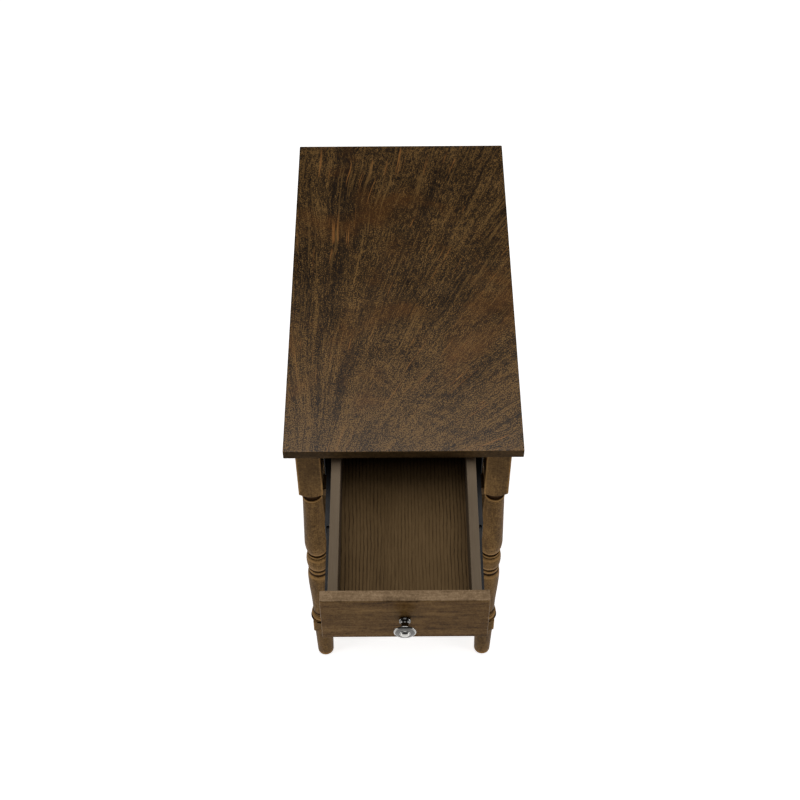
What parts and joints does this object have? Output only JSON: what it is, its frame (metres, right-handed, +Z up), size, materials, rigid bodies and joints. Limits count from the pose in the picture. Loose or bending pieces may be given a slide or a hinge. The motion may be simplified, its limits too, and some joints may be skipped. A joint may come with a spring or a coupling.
{
  "type": "side table with drawer",
  "caption": "Narrow rectangular side table on turned legs with a lower shelf and one drawer on full-extension ball-bearing slides, shown half open.",
  "frame": {"origin": "on the floor, under the middle of the tabletop", "axes": "+X to the right and +Y to the back for someone who faces the drawer, +Z up; the drawer opens towards -Y"},
  "size_m": [0.33, 0.8685, 0.61],
  "materials": {
    "top_veneer": "satin",
    "leg_wood": "satin",
    "case_wood": "satin",
    "front_wood": "satin",
    "shelf_veneer": "satin",
    "drawer_box_wood": "satin",
    "bottom_panel": "satin",
    "cleat_wood": "matte",
    "dowel_wood": "matte",
    "slide_steel": "satin",
    "cage_steel": "satin",
    "bracket_steel": "satin",
    "screw_steel": "satin",
    "glide_nylon": "matte",
    "knob_nickel": "polished"
  },
  "bodies": {
    "case": {"tabletop": "top_veneer", "leg_front_left": "leg_wood", "leg_front_right": "leg_wood", "leg_rear_left": "leg_wood", "leg_rear_right": "leg_wood", "apron_left": "case_wood", "apron_right": "case_wood", "apron_back": "case_wood", "drawer_rail": "case_wood", "rail_dowels": "dowel_wood", "slide_cleat_left": "cleat_wood", "slide_cleat_right": "cleat_wood", "cleat_screws": "screw_steel", "top_brackets": "bracket_steel", "bracket_screws": "screw_steel", "lower_shelf": "shelf_veneer", "shelf_dowels": "dowel_wood", "floor_glides": "glide_nylon", "slide_case_member_left": "slide_steel", "slide_case_member_right": "slide_steel", "slide_case_screws": "screw_steel"},
    "drawer": {"drawer_front": "front_wood", "drawer_side_left": "drawer_box_wood", "drawer_side_right": "drawer_box_wood", "drawer_back": "drawer_box_wood", "drawer_bottom": "bottom_panel", "drawer_front_dowels": "dowel_wood", "drawer_back_screws": "screw_steel", "slide_drawer_member_left": "slide_steel", "slide_drawer_member_right": "slide_steel", "slide_drawer_screws": "screw_steel", "knob": "knob_nickel", "knob_screw": "screw_steel"},
    "slide_middle_left": {"slide_middle_member_left": "slide_steel"},
    "outer_cage_left": {"ball_cage_outer_left": "cage_steel"},
    "inner_cage_left": {"ball_cage_inner_left": "cage_steel"},
    "slide_middle_right": {"slide_middle_member_right": "slide_steel"},
    "outer_cage_right": {"ball_cage_outer_right": "cage_steel"},
    "inner_cage_right": {"ball_cage_inner_right": "cage_steel"}
  },
  "joints": [
    {"name": "drawer_slide", "type": "slide", "parent": "case", "child": "drawer", "axis": [0, -1, 0], "range_m": [-0.238, 0.212]},
    {"name": "slide_middle_left_slide", "type": "slide", "parent": "case", "child": "slide_middle_left", "axis": [0, -1, 0], "range_m": [-0.119, 0.106]},
    {"name": "outer_cage_left_slide", "type": "slide", "parent": "case", "child": "outer_cage_left", "axis": [0, -1, 0], "range_m": [-0.0595, 0.053]},
    {"name": "inner_cage_left_slide", "type": "slide", "parent": "case", "child": "inner_cage_left", "axis": [0, -1, 0], "range_m": [-0.1785, 0.159]},
    {"name": "slide_middle_right_slide", "type": "slide", "parent": "case", "child": "slide_middle_right", "axis": [0, -1, 0], "range_m": [-0.119, 0.106]},
    {"name": "outer_cage_right_slide", "type": "slide", "parent": "case", "child": "outer_cage_right", "axis": [0, -1, 0], "range_m": [-0.0595, 0.053]},
    {"name": "inner_cage_right_slide", "type": "slide", "parent": "case", "child": "inner_cage_right", "axis": [0, -1, 0], "range_m": [-0.1785, 0.159]}
  ],
  "couplings": [
    {"joint": "slide_middle_left_slide", "follows": "drawer_slide", "ratio": 0.5},
    {"joint": "outer_cage_left_slide", "follows": "drawer_slide", "ratio": 0.25},
    {"joint": "inner_cage_left_slide", "follows": "drawer_slide", "ratio": 0.75},
    {"joint": "slide_middle_right_slide", "follows": "drawer_slide", "ratio": 0.5},
    {"joint": "outer_cage_right_slide", "follows": "drawer_slide", "ratio": 0.25},
    {"joint": "inner_cage_right_slide", "follows": "drawer_slide", "ratio": 0.75}
  ]
}
